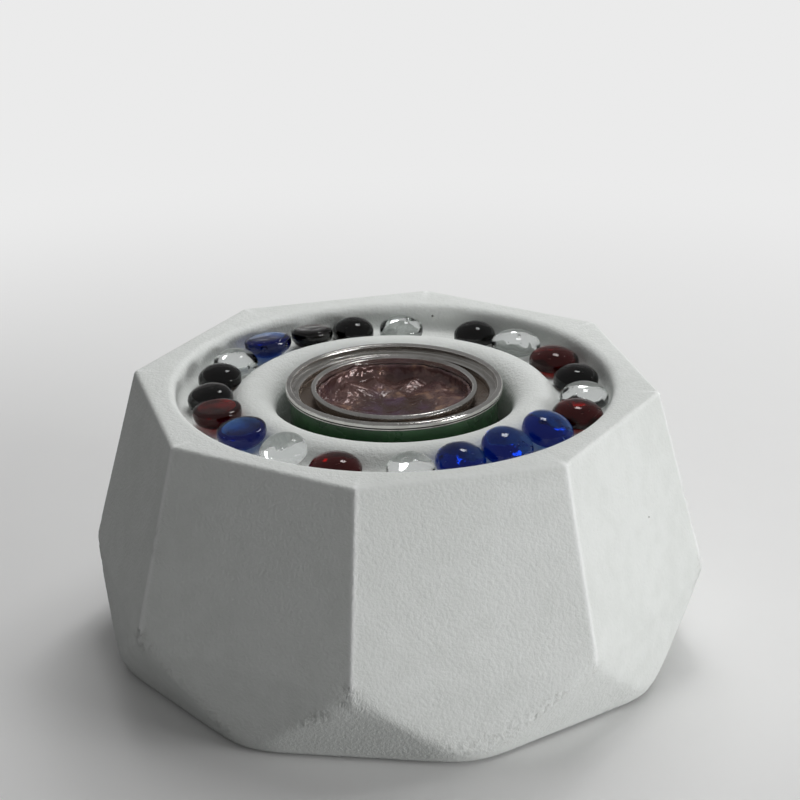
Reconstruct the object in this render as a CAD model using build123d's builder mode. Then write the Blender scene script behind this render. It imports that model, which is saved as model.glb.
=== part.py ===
# Tabletop fire bowl: a faceted concrete casting with a ring channel of loose glass beads
# round a deep well, and a seamed steel can of gel fuel that stands in the well.
# Millimetres, +Z up, with the origin on the table under the middle of the bowl.
from build123d import *

import os
from math import atan, atan2, cos, degrees, pi, radians, sin

os.makedirs("parts", exist_ok=True)

# Fuel can
can_height = 100.0
can_seam_radius = 43.65
seam_height = 3.1
seam_width = 1.75
seam_edge_round = 0.7
tin = 0.3
seam_clearance = 0.05
side_seam_width = 4.0
side_seam_proud = 0.2

# Friction-lid ring on top of the can
opening_radius = 31.2
curl_radius = 1.05
curl_wrap = 230.0
curl_below_seam = 1.1
shoulder_drop = 3.4
gutter_drop = 6.4
gutter_radius = 38.4
ring_bend = 0.6

# Bottom end of the can
end_countersink = 4.2
end_countersink_width = 3.0
end_panel_depth = 2.6
end_step_radius = 30.0
end_step_depth = 3.6
end_bend = 0.45

# Gel
gel_below_seam = 9.5
gel_dish = 1.6
gel_clearance = 0.1

# Glass beads
bead_large = 20.6
bead_wide = 19.6
bead_middle = 18.6
bead_small = 17.6
bead_height = 9.4
bead_edge_round = 3.2
bead_shoulder_round = 4.2
bead_side_gap = 0.9
bead_clearance = 0.3

# Bowl outline: wall at the rim's corners, and how far the waist stands out past rim and foot
facet_count = 8
rim_corner_wall = 18.5
side_flare = 19.9
foot_inset = 18.6
bowl_height = 112.4
waist_height = 35.4
base_corner_round = 25.0
facet_round = 3.0
rim_round = 1.5
base_round = 1.5

# Well and ring channel
can_below_rim = 0.4
well_gap = 4.05
well_draft = 0.7
well_corner = 2.4
well_mouth_round = 9.2
island_below_rim = 3.3
island_top_width = 14.3
island_slope_width = 5.5
island_round = 8.0
channel_depth = 10.4
channel_corner = 4.0
channel_wall_slope = 0.9
lip_round = 3.2

# Pads under the bowl
pad_count = 4
pad_radius = 10.0
pad_thickness = 2.5
pad_proud = 1.0
pad_clearance = 0.3
pad_inset = 23.8

# Levels
rim_z = pad_proud + bowl_height
waist_z = pad_proud + waist_height
crest_z = rim_z - island_below_rim
channel_z = rim_z - channel_depth
island_height = channel_depth - island_below_rim
can_top_z = rim_z - can_below_rim
can_bottom_z = can_top_z - can_height

# Radii
can_radius = can_seam_radius - seam_width
can_inside = can_radius - tin
chuck_radius = can_inside - seam_clearance - tin / 2
well_radius = can_seam_radius + well_gap
well_floor_radius = well_radius - (crest_z - can_bottom_z) * sin(radians(well_draft))
island_shoulder = well_radius + island_top_width
island_foot = island_shoulder + island_slope_width
channel_radius = island_foot + bead_wide
bead_ring = channel_radius - bead_wide / 2 - bead_side_gap

# Facets
facet_turn = 360 / facet_count
rim_radius = channel_radius + channel_wall_slope + rim_corner_wall
waist_radius = rim_radius + side_flare
base_apothem = waist_radius - foot_inset
pad_circle = base_apothem - pad_inset
waist_apothem = waist_radius * cos(pi / facet_count)
rim_apothem = rim_radius * cos(pi / facet_count)
foot_flare = degrees(atan(foot_inset / waist_height))
side_lean = degrees(atan((waist_apothem - rim_apothem) / (rim_z - waist_z)))


def finish(piece, name):
    piece.part.label = name
    export_step(piece.part, f"parts/{name}.step")


# Fire bowl: below the waist eight upright facets and eight that flare up from the base meet
# at the waist corners, and above it eight facets lean in to the rim
with BuildPart() as fire_bowl:
    with BuildSketch(Plane.XY.offset(pad_proud)) as base_plan:
        RegularPolygon(base_apothem, facet_count, major_radius=False)
        fillet(base_plan.vertices(), radius=base_corner_round)
    extrude(amount=waist_height, taper=-foot_flare)
    with BuildSketch(Plane.XY.offset(pad_proud)):
        RegularPolygon(waist_apothem, facet_count, major_radius=False, rotation=facet_turn / 2)
    extrude(amount=waist_height, mode=Mode.INTERSECT)
    with BuildSketch(Plane.XY.offset(waist_z)):
        RegularPolygon(waist_apothem, facet_count, major_radius=False, rotation=facet_turn / 2)
    extrude(amount=rim_z - waist_z, taper=side_lean)

    rim_edges = fire_bowl.edges().group_by(Axis.Z)[-1]
    base_edges = fire_bowl.edges().group_by(Axis.Z)[0]
    facet_edges = fire_bowl.edges() - rim_edges - base_edges
    fillet(facet_edges, radius=facet_round)
    fillet(fire_bowl.edges().group_by(Axis.Z)[-1], radius=rim_round)
    fillet(fire_bowl.edges().group_by(Axis.Z)[0], radius=base_round)

    # The well, the rounded island round its mouth and the ring channel, in one turned cut
    with BuildSketch(Plane.XZ):
        with BuildLine():
            hollow = FilletPolyline(
                (0, can_bottom_z),
                (well_floor_radius, can_bottom_z),
                (well_radius, crest_z),
                (island_shoulder, crest_z),
                (island_foot, channel_z),
                (channel_radius, channel_z),
                (channel_radius + channel_wall_slope, rim_z),
                radius=[well_corner, well_mouth_round, island_round, channel_corner, channel_corner],
            )
            Polyline(hollow @ 1, (0, rim_z), hollow @ 0)
        make_face()
    revolve(axis=Axis.Z, mode=Mode.SUBTRACT)
    lip = fire_bowl.edges().filter_by(GeomType.CIRCLE).group_by(Axis.Z)[-1].sort_by(SortBy.LENGTH)[-1]
    fillet(lip, radius=lip_round)

    # Recesses that the pads sit in
    with BuildSketch(Plane.XY.offset(pad_proud)):
        with PolarLocations(pad_circle, pad_count, start_angle=facet_turn):
            Circle(pad_radius + pad_clearance)
    extrude(amount=pad_thickness - pad_proud, mode=Mode.SUBTRACT)
finish(fire_bowl, "fire_bowl")


# Pads
pad_places = PolarLocations(pad_circle, pad_count, start_angle=facet_turn).locations
for number, place in enumerate(pad_places, start=1):
    with BuildPart() as foot_pad:
        with BuildSketch(Plane(place.position)):
            Circle(pad_radius)
        extrude(amount=pad_thickness)
    finish(foot_pad, f"foot_pad_{number}")


# Can body: a rolled wall with a lapped side seam, its two edges held inside the end seams
with BuildPart() as can_body:
    with BuildSketch(Plane.XY.offset(can_bottom_z + 2 * tin)):
        Circle(can_radius)
        Circle(can_inside, mode=Mode.SUBTRACT)
    extrude(amount=can_height - 4 * tin)
    with BuildSketch(Plane.XY.offset(can_bottom_z + seam_height + tin)):
        Circle(can_radius + side_seam_proud)
        Circle(can_inside, mode=Mode.SUBTRACT)
        Rectangle(4 * can_radius, side_seam_width, mode=Mode.INTERSECT)
        with Locations((-can_radius, 0)):
            Rectangle(can_radius, can_radius, mode=Mode.SUBTRACT)
    extrude(amount=can_height - 2 * (seam_height + tin))
finish(can_body, "can_body")


# The two ends of the can share one way of drawing: y runs from the seam's outer rim
# towards the middle of the can
top_end_plane = Plane(origin=(0, 0, can_top_z), x_dir=(1, 0, 0), z_dir=(0, 1, 0))
bottom_end_plane = Plane(origin=(0, 0, can_bottom_z), x_dir=(1, 0, 0), z_dir=(0, -1, 0))


def seam_section():
    # Double seam: a rounded hook with a slot for the edge of the body
    inside = chuck_radius - tin / 2
    slot_inside = can_inside - seam_clearance
    slot_outside = can_radius + seam_clearance
    with Locations((inside, 0)):
        seam = Rectangle(can_seam_radius - inside, seam_height, align=(Align.MIN, Align.MIN))
    fillet(seam.vertices().group_by(Axis.X)[-1], radius=seam_edge_round)
    with Locations((slot_inside, 2 * tin)):
        Rectangle(slot_outside - slot_inside, seam_height, align=(Align.MIN, Align.MIN), mode=Mode.SUBTRACT)


# Friction-lid ring: seam, shoulder, gutter and the curled neck that a press-in lid fits
neck_radius = opening_radius + tin / 2
curl_centre = curl_below_seam + tin / 2 + curl_radius
with BuildPart() as can_ring:
    with BuildSketch(top_end_plane):
        seam_section()
        with BuildLine():
            ring_sheet = FilletPolyline(
                (chuck_radius, seam_height / 2),
                (chuck_radius, shoulder_drop),
                (gutter_radius, shoulder_drop),
                (gutter_radius, gutter_drop),
                (neck_radius, gutter_drop),
                (neck_radius, curl_centre),
                radius=ring_bend,
            )
            CenterArc((neck_radius + curl_radius, curl_centre), curl_radius, 180, curl_wrap)
        trace(line_width=tin)
    revolve(axis=Axis.Z)
finish(can_ring, "can_ring")


# Bottom end: seam, countersink and a stepped panel
with BuildPart() as can_bottom:
    with BuildSketch(bottom_end_plane):
        seam_section()
        with BuildLine():
            FilletPolyline(
                (chuck_radius, seam_height / 2),
                (chuck_radius, end_countersink),
                (chuck_radius - end_countersink_width, end_countersink),
                (chuck_radius - end_countersink_width, end_panel_depth),
                (end_step_radius, end_panel_depth),
                (end_step_radius, end_step_depth),
                (0, end_step_depth),
                radius=end_bend,
            )
        trace(line_width=tin)
    revolve(axis=Axis.Z)
finish(can_bottom, "can_bottom")


# Gel: fills the can from the bottom end to a dished surface under the ring
gel_radius = can_inside - gel_clearance
gel_bottom_z = can_bottom_z + end_countersink + tin / 2
gel_top_z = can_top_z - gel_below_seam
with BuildPart() as fuel_gel:
    with BuildSketch(Plane.XZ):
        with BuildLine():
            side = Polyline((0, gel_bottom_z), (gel_radius, gel_bottom_z), (gel_radius, gel_top_z))
            surface = TangentArc((0, gel_top_z - gel_dish), side @ 1, tangent=(1, 0))
            Line(surface @ 0, side @ 0)
        make_face()
    revolve(axis=Axis.Z)
finish(fuel_gel, "fuel_gel")


# Glass beads: flat on one side, a round edge, a tight shoulder and a broad crown
def crown_radius(width):
    # Radius of the crown that runs smoothly out of the shoulder and tops out at the bead's height
    shoulder_reach = width / 2 - bead_shoulder_round
    above_edge = bead_height - bead_edge_round
    spare = 2 * (above_edge - bead_shoulder_round)
    return (shoulder_reach**2 + above_edge**2 - bead_shoulder_round**2) / spare


def ring_beside_island(height, inset, edge_round):
    # Ring for a bead whose rounded edge clears the slope of the island, where the centre of the
    # round is this high above the channel's floor and this far in from the bead's middle
    slope_turn = atan2(island_height, island_slope_width)
    from_foot = (edge_round + bead_clearance - height * cos(slope_turn)) / sin(slope_turn)
    return island_foot + from_foot + inset


def bead_seat(width, turn, pose, lean):
    # Plane on the bead's flat side, with z towards its crown
    outward = Vector(cos(radians(turn)), sin(radians(turn)), 0)
    up = Vector(0, 0, 1)
    across = up.cross(outward)
    tilt = radians(lean)
    tilted_up = outward * sin(tilt) + up * cos(tilt)
    if pose == "level":
        return Plane(origin=outward * bead_ring + up * channel_z, x_dir=across, z_dir=up)
    if pose == "propped":
        # One edge stands on the floor and the other is held up by the slope of the island
        flat_radius = width / 2 - bead_edge_round
        rise = flat_radius * sin(tilt) + bead_edge_round * (1 - cos(tilt)) + bead_clearance
        edge_height = rise + flat_radius * sin(tilt) + bead_edge_round * cos(tilt)
        edge_inset = flat_radius * cos(tilt) - bead_edge_round * sin(tilt)
        ring = ring_beside_island(edge_height, edge_inset, bead_edge_round)
        return Plane(origin=outward * ring + up * (channel_z + rise), x_dir=across, z_dir=tilted_up)
    # Turned over on its crown, in the middle of the channel or tucked against the island
    ring = bead_ring
    crown = crown_radius(width)
    crown_height = bead_clearance + crown
    if pose == "tucked":
        drop = crown - bead_height + bead_edge_round
        shoulder_radius = width / 2 - bead_shoulder_round
        shoulder_height = crown_height - drop * cos(tilt) + shoulder_radius * sin(tilt)
        shoulder_inset = drop * sin(tilt) + shoulder_radius * cos(tilt)
        ring = ring_beside_island(shoulder_height, shoulder_inset, bead_shoulder_round)
    origin = outward * ring + up * (channel_z + crown_height) - tilted_up * (crown - bead_height)
    return Plane(origin=origin, x_dir=across, z_dir=-tilted_up)


def glass_bead(name, width, turn, pose, lean):
    seat = bead_seat(width, turn, pose, lean)
    half = width / 2
    crown = crown_radius(width)
    shoulder_turn = degrees(atan2(bead_edge_round - bead_height + crown, half - bead_shoulder_round))
    with BuildPart() as bead:
        with BuildSketch(Plane(origin=seat.origin, x_dir=seat.x_dir, z_dir=-seat.y_dir)):
            with BuildLine():
                flat = Line((0, 0), (half - bead_edge_round, 0))
                CenterArc((half - bead_edge_round, bead_edge_round), bead_edge_round, -90, 90)
                shoulder_centre = (half - bead_shoulder_round, bead_edge_round)
                CenterArc(shoulder_centre, bead_shoulder_round, 0, shoulder_turn)
                top = CenterArc((0, bead_height - crown), crown, shoulder_turn, 90 - shoulder_turn)
                Line(top @ 1, flat @ 0)
            make_face()
        revolve(axis=Axis(seat.origin, seat.z_dir))
    finish(bead, name)


# Anticlockwise from +X, with bare stretches of channel left between some of them
beads = [
    ("amber", bead_large, 14, "propped", 3),
    ("clear", bead_large, 32.8, "propped", 2),
    ("smoke", bead_small, 48.5, "level", 0),
    ("clear", bead_middle, 73, "level", 0),
    ("smoke", bead_small, 88.5, "level", 0),
    ("smoke", bead_small, 104, "tucked", 8),
    ("cobalt", bead_wide, 120, "turned", 9),
    ("clear", bead_middle, 134.8, "level", 0),
    ("smoke", bead_small, 149, "propped", 3),
    ("smoke", bead_middle, 167, "propped", 8),
    ("amber", bead_wide, 182.5, "tucked", 5),
    ("cobalt", bead_wide, 200.7, "tucked", 10),
    ("clear", bead_middle, 219, "propped", 18),
    ("amber", bead_large, 238, "propped", 3),
    ("clear", bead_middle, 260, "propped", 6),
    ("cobalt", bead_wide, 275.5, "propped", 14),
    ("cobalt", bead_large, 292.3, "propped", 20),
    ("cobalt", bead_large, 311, "propped", 19),
    ("amber", bead_large, 328.5, "propped", 3),
    ("clear", bead_wide, 344, "level", 0),
    ("smoke", bead_middle, 358.8, "level", 0),
]
for colour in ("amber", "clear", "cobalt", "smoke"):
    same = [bead for bead in beads if bead[0] == colour]
    for number, (_, width, turn, pose, lean) in enumerate(same, start=1):
        glass_bead(f"bead_{colour}_{number}", width, turn, pose, lean)
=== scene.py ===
import math
import re

import bmesh
import bpy
from mathutils import Matrix, Vector


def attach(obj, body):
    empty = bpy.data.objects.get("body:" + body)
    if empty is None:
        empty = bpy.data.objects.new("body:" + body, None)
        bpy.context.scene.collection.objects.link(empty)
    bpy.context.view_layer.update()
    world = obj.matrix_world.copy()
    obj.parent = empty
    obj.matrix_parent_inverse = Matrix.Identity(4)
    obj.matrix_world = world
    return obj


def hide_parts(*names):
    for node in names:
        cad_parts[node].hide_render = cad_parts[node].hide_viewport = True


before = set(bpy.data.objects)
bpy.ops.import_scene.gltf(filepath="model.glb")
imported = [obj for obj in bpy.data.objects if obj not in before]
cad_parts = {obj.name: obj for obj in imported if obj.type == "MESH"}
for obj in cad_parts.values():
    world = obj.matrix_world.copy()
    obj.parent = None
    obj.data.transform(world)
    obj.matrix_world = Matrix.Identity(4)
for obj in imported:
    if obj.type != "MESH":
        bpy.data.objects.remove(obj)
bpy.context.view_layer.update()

mm = 0.001


# every input gets a link or a value
def fillInputs(tree, node, inputs):
    for key, value in inputs.items():
        if isinstance(value, bpy.types.NodeSocket):
            tree.links.new(value, node.inputs[key])
        else:
            node.inputs[key].default_value = value


def addNode(tree, kind, inputs=None, **settings):
    node = tree.nodes.new(kind)
    for name, value in settings.items():
        setattr(node, name, value)
    fillInputs(tree, node, inputs or {})
    return node


def calc(tree, operation, a, b=0.0, c=0.0):
    return addNode(tree, "ShaderNodeMath", {0: a, 1: b, 2: c}, operation=operation).outputs[0]


def minus(tree, a, b):
    return calc(tree, "SUBTRACT", a, b)


def gapBetween(tree, a, b=0.0):
    return calc(tree, "ABSOLUTE", minus(tree, a, b))


def chain(tree, operation, values):
    total = values[0]
    for value in values[1:]:
        total = calc(tree, operation, total, value)
    return total


def times(tree, *factors):
    return chain(tree, "MULTIPLY", factors)


def largest(tree, *values):
    return chain(tree, "MAXIMUM", values)


def combine(tree, x=0.0, y=0.0, z=0.0):
    return addNode(tree, "ShaderNodeCombineXYZ", {0: x, 1: y, 2: z}).outputs[0]


def apart(tree, vector):
    return addNode(tree, "ShaderNodeSeparateXYZ", {0: vector}).outputs


def vectorCalc(tree, operation, a, b=(0.0, 0.0, 0.0)):
    return addNode(tree, "ShaderNodeVectorMath", {0: a, 1: b}, operation=operation).outputs[0]


def scaled(tree, vector, factor):
    inputs = {0: vector, "Scale": factor}
    return addNode(tree, "ShaderNodeVectorMath", inputs, operation="SCALE").outputs[0]


# smooth step from outLow to outHigh while the value goes from low to high
def fade(tree, value, low, high, outLow=0.0, outHigh=1.0):
    inputs = {"Value": value, "From Min": low, "From Max": high,
              "To Min": outLow, "To Max": outHigh}
    step = addNode(tree, "ShaderNodeMapRange", inputs, interpolation_type="SMOOTHSTEP")
    return step.outputs["Result"]


def noise(tree, where, scale, detail, roughness=0.5, dimensions="3D", output=0):
    key = "W" if dimensions == "1D" else "Vector"
    inputs = {key: where, "Scale": scale, "Detail": detail, "Roughness": roughness}
    node = addNode(tree, "ShaderNodeTexNoise", inputs, noise_dimensions=dimensions)
    return node.outputs[output]


def fadedNoise(tree, where, look, name):
    return fade(tree, noise(tree, where, *look[name]), *look[name + "Range"])


# scattered points: how far the nearest one is, and its own random number
def scatter(tree, where, scale):
    cells = addNode(tree, "ShaderNodeTexVoronoi", {"Vector": where, "Scale": scale}).outputs
    own = addNode(tree, "ShaderNodeSeparateColor", {0: cells["Color"]}).outputs[0]
    return cells["Distance"], own


def fromAxis(tree, place):
    split = apart(tree, place)
    squares = calc(tree, "ADD", times(tree, split[0], split[0]), times(tree, split[1], split[1]))
    return calc(tree, "SQRT", squares), split


def newMaterial(name):
    material = bpy.data.materials.new(name)
    material.use_nodes = True
    tree = material.node_tree
    place = addNode(tree, "ShaderNodeTexCoord").outputs["Object"]
    return material, tree, tree.nodes["Principled BSDF"], place


def mixNumber(tree, factor, low, high):
    return addNode(tree, "ShaderNodeMix", {0: factor, 2: low, 3: high}).outputs[0]


def mixColour(tree, factor, low, high):
    low, high = [c if isinstance(c, bpy.types.NodeSocket) else (*c, 1.0) for c in (low, high)]
    return addNode(tree, "ShaderNodeMix", {0: factor, 6: low, 7: high}, data_type="RGBA").outputs[2]


# bumps over one another, each a height field and its depth in metres
def layBumps(tree, *layers):
    under = {}
    for height, depth in layers:
        inputs = {"Height": height, "Distance": depth, **under}
        under = {"Normal": addNode(tree, "ShaderNodeBump", inputs).outputs["Normal"]}
    return under["Normal"]


def readField(tree, name):
    return addNode(tree, "ShaderNodeAttribute", attribute_name=name).outputs["Fac"]


def newPiece(name, mesh, material=None):
    piece = bpy.data.objects.new(name, mesh)
    bpy.context.scene.collection.objects.link(piece)
    if material:
        mesh.materials.append(material)
    mesh.polygons.foreach_set("use_smooth", [True] * len(mesh.polygons))
    return piece


# the evaluated shape becomes the piece's own plain mesh, and the modifiers go
def applyModifiers(piece):
    depsgraph = bpy.context.evaluated_depsgraph_get()
    mesh = bpy.data.meshes.new_from_object(piece.evaluated_get(depsgraph))
    piece.modifiers.clear()
    piece.data = mesh
    mesh.polygons.foreach_set("use_smooth", [True] * len(mesh.polygons))
    return mesh


def runTree(piece, tree, values):
    modifier = piece.modifiers.new(tree.name, "NODES")
    modifier.node_group = tree
    for item in tree.interface.items_tree:
        if item.name in values:
            modifier[item.identifier] = values[item.name]
    applyModifiers(piece)


# a tree's inputs in metres, named as their keys are: rimHeight gives Rim Height
def lengths(table, *keys):
    return {re.sub("([A-Z])", r" \1", key).title(): table[key] * mm for key in keys}


def newTree(name, numbers, counts=()):
    tree = bpy.data.node_groups.new(name, "GeometryNodeTree")
    kinds = [("Geometry", "Geometry")] + [(label, "Float") for label in numbers]
    kinds += [(label, "Int") for label in counts] + [("Material", "Material")]
    for label, kind in kinds:
        tree.interface.new_socket(label, in_out="INPUT", socket_type="NodeSocket" + kind)
    tree.interface.new_socket("Geometry", in_out="OUTPUT", socket_type="NodeSocketGeometry")
    given, result = tree.nodes.new("NodeGroupInput"), tree.nodes.new("NodeGroupOutput")
    here = addNode(tree, "GeometryNodeInputPosition").outputs[0]
    return tree, given.outputs, result.inputs, here


def meshField(tree, name):
    node = addNode(tree, "GeometryNodeInputNamedAttribute", {"Name": name})
    return node.outputs["Attribute"]


def storeField(tree, geometry, name, value):
    inputs = {"Geometry": geometry, "Name": name, "Value": value}
    return addNode(tree, "GeometryNodeStoreNamedAttribute", inputs).outputs[0]


# the points are moved, and the result is real geometry with its material
def finishTree(tree, geometry, moves, given, result):
    shaped = addNode(tree, "GeometryNodeSetPosition", {"Geometry": geometry, **moves})
    real = addNode(tree, "GeometryNodeRealizeInstances", {0: shaped.outputs[0]})
    inputs = {"Geometry": real.outputs[0], "Material": given["Material"]}
    tree.links.new(addNode(tree, "GeometryNodeSetMaterial", inputs).outputs[0], result[0])
    return tree


# fields that only the tree reads
def dropFields(piece, names):
    for name in names:
        piece.data.attributes.remove(piece.data.attributes[name])


# points of a line in the (radius, height) plane, its corners rounded and its runs cut to the step
def roundedLine(points, radii, step):
    line = [Vector(points[0])]
    for before, corner, after, radius in zip(points, points[1:], points[2:], radii):
        corner = Vector(corner)
        inward = (Vector(before) - corner).normalized()
        outward = (Vector(after) - corner).normalized()
        half = inward.angle(outward) / 2
        reach = radius / math.tan(half)
        centre = corner + (inward + outward).normalized() * (radius / math.sin(half))
        start, end = corner + inward * reach - centre, corner + outward * reach - centre
        arc = start.angle(end)
        count = max(2, math.ceil(arc * radius / step))
        for k in range(count + 1):
            fromStart, fromEnd = math.sin((1 - k / count) * arc), math.sin(k / count * arc)
            spoke = start.normalized() * fromStart + end.normalized() * fromEnd
            line.append(centre + spoke.normalized() * radius)
    line.append(Vector(points[-1]))
    fine = [line[0]]
    for a, b in zip(line, line[1:]):
        count = max(1, math.ceil((b - a).length / step))
        fine += [a.lerp(b, k / count) for k in range(1, count + 1)]
    return fine


# rings of points round Z, from an axis point below to one above, skinned as one closed mesh
def skinRings(name, low, rings, high, angles):
    points, n = [(0, 0, low * mm)], len(angles)
    for radius, height in rings:
        r, z = radius * mm, height * mm
        points += [(r * math.cos(t), r * math.sin(t), z) for t in angles]
    points.append((0, 0, high * mm))
    faces = [(0, 1 + (k + 1) % n, 1 + k) for k in range(n)]
    for j in range(len(rings) - 1):
        a, b = 1 + j * n, 1 + (j + 1) * n
        faces += [(a + k, a + (k + 1) % n, b + (k + 1) % n, b + k) for k in range(n)]
    last = 1 + (len(rings) - 1) * n
    faces += [(last + k, last + (k + 1) % n, len(points) - 1) for k in range(n)]
    mesh = bpy.data.meshes.new(name)
    mesh.from_pydata(points, [], faces)
    return mesh


# the same fields for all points of a ring
def ringFields(mesh, names, low, facts, high, count):
    rows = [low] + [fact for fact in facts for k in range(count)] + [high]
    for index, name in enumerate(names):
        field = mesh.attributes.new(name, "FLOAT", "POINT")
        field.data.foreach_set("value", [row[index] for row in rows])


# a closed outline in the (radius, height) plane, in mm, turned once round Z
def spin(name, loop, material, steps):
    mesh = bpy.data.meshes.new(name)
    edges = [(k, (k + 1) % len(loop)) for k in range(len(loop))]
    mesh.from_pydata([(r * mm, 0, z * mm) for r, z in loop], edges, [])
    piece = newPiece(name, mesh, material)
    screw = piece.modifiers.new("turn", "SCREW")
    screw.steps = screw.render_steps = steps
    screw.use_merge_vertices = True
    screw.merge_threshold = 0.01 * mm
    mesh = applyModifiers(piece)
    turned = bmesh.new()
    turned.from_mesh(mesh)
    bmesh.ops.remove_doubles(turned, verts=turned.verts, dist=0.005 * mm)
    bmesh.ops.recalc_face_normals(turned, faces=turned.faces)
    turned.to_mesh(mesh)
    turned.free()
    return piece


# sizes below are in mm, and depths of bumps in metres; a noise is (scale, detail, roughness), and
# a range is where a fade begins and ends, and then what it gives there, if not 0 and 1

# bowl: a turned blank whose outside a node tree cuts to facets
casting = {
    "facets": 8,
    "rimRadius": 106.5, "rimHeight": 113.4, "rimRound": 1.4,
    "waistRadius": 126.4, "waistHeight": 36.4,
    "footInset": 18.6, "footRound": 1.8, "underside": 1.0,
    "uprightCrease": 0.55, "slantCrease": 2.0, "waistCrease": 0.5,
    "footCorner": 17.0, "cornerSoftness": 3.6,
    "unevenness": 0.35, "chipDepth": 1.0, "seed": 6.1,
    "channelRadius": 87.1, "channelFloor": 103.0, "wallSlope": 0.9,
    "islandFoot": 67.5, "islandShoulder": 62.0, "islandCrest": 110.1,
    "wellRadius": 47.7, "wellFloorRadius": 46.5, "wellFloor": 13.0,
    "cornerRounds": [3.2, 4.0, 4.0, 8.0, 9.2, 2.4],
    "lipRun": 6.0, "axisGap": 0.5,
    "columns": 480, "crowding": 0.62,
    "bottomRings": 8, "bottomEasing": 0.8,
    "bendRings": 4, "rimRings": 5,
    "step": 1.5, "deepFrom": 12.0, "deepStep": 7.5,
    "wear": {       # up to bandTop, ranges are distances from a crease, the waist or the foot
        "corner": (0.0, 14.0),
        "upright": (0.0, 2.2), "uprightFoot": (-2.0, 2.0), "uprightShare": 0.6,
        "slant": (0.0, 3.5), "slantTop": (0.0, 4.0),
        "meeting": (0.0, 7.0), "meetingHeight": (3.0, 12.0), "meetingShare": 0.9,
        "foot": (1.0, 7.0), "footShare": 0.9,
        "bandStart": (-1.5, 0.0), "bandEnd": (1.5, 6.0), "bandTop": (1.0, 7.0),
        "band": (12.0, 1.0), "bandRange": (0.44, 0.56), "bandShare": 0.55,
        "patch": (34.0, 2.0), "patchRange": (0.52, 0.68),
        "knock": (21.0, 1.0), "knockRange": (0.30, 0.44),
        "crumb": (300.0, 3.0, 0.6), "crumbRange": (0.43, 0.60),
        "wave": (14.0, 2.0),
    },
    "concrete": {
        "pale": (0.755, 0.775, 0.756), "shade": (0.712, 0.733, 0.711),
        "mottle": (22.0, 5.0, 0.55), "cloud": (132.0, 3.0),
        "cloudShare": 0.4, "toneRange": (0.38, 0.62),
        # edge is a painted highlight along the upright creases
        "edge": (0.88, 0.895, 0.885), "creaseHighlightShare": 0.9,
        # the hole colour and the pit darkening are painted shade in the pinholes and the chipped
        # pits
        "holeShade": (0.36, 0.355, 0.33), "holeScale": 105.0, "holeShare": 0.74,
        "holeSize": 0.070, "holeEdge": 0.03, "holeDepth": 0.0008,
        "rubble": (420.0, 4.0, 0.7), "rubbleDepth": 0.0013,
        "pitRange": (0.52, 0.40), "pitShade": 0.4,
        "pebble": (700.0, 1.5), "pebbleDepth": 0.00028,
        "grain": (1700.0, 2.0), "grainDepth": 0.00009,
        "roughness": (0.3, 0.7, 0.76, 0.92), "specular": 0.3,
    },
}
castingFields = ("turnedRadius", "turned", "share", "inset")


def castConcrete(look):
    material, tree, shader, place = newMaterial("cast concrete")
    mottle = times(tree, noise(tree, place, *look["mottle"]), 1 - look["cloudShare"])
    cloud = noise(tree, place, *look["cloud"])
    tone = calc(tree, "MULTIPLY_ADD", cloud, look["cloudShare"], mottle)
    colour = mixColour(tree, fade(tree, tone, *look["toneRange"]), look["shade"], look["pale"])
    # painted highlight: a lighter line along the upright creases, where the rounded crease catches
    # the light
    crease = readField(tree, "crease")
    colour = mixColour(tree, times(tree, crease, crease, look["creaseHighlightShare"]), colour, look["edge"])

    # pinholes, one in each of a few cells
    distance, chosen = scatter(tree, place, look["holeScale"])
    size = fade(tree, chosen, look["holeShare"], 1.0, 0.0, look["holeSize"])
    hole = fade(tree, minus(tree, size, distance), 0.0, look["holeEdge"])
    worn = readField(tree, "worn")
    rubble = noise(tree, place, *look["rubble"])
    pits = times(tree, fade(tree, rubble, *look["pitRange"]), worn)
    # painted shade: the pinholes and the chipped pits are darkened
    recessShade = largest(tree, hole, times(tree, pits, look["pitShade"]))

    pebble = noise(tree, place, *look["pebble"])
    fillInputs(tree, shader, {
        "Base Color": mixColour(tree, recessShade, colour, look["holeShade"]),
        "Roughness": fade(tree, pebble, *look["roughness"]),
        "Specular IOR Level": look["specular"],
        "Normal": layBumps(tree, (pebble, look["pebbleDepth"]),
                           (noise(tree, place, *look["grain"]), look["grainDepth"]),
                           (times(tree, rubble, worn), look["rubbleDepth"]),
                           (minus(tree, 1.0, hole), look["holeDepth"])),
    })
    return material


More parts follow.
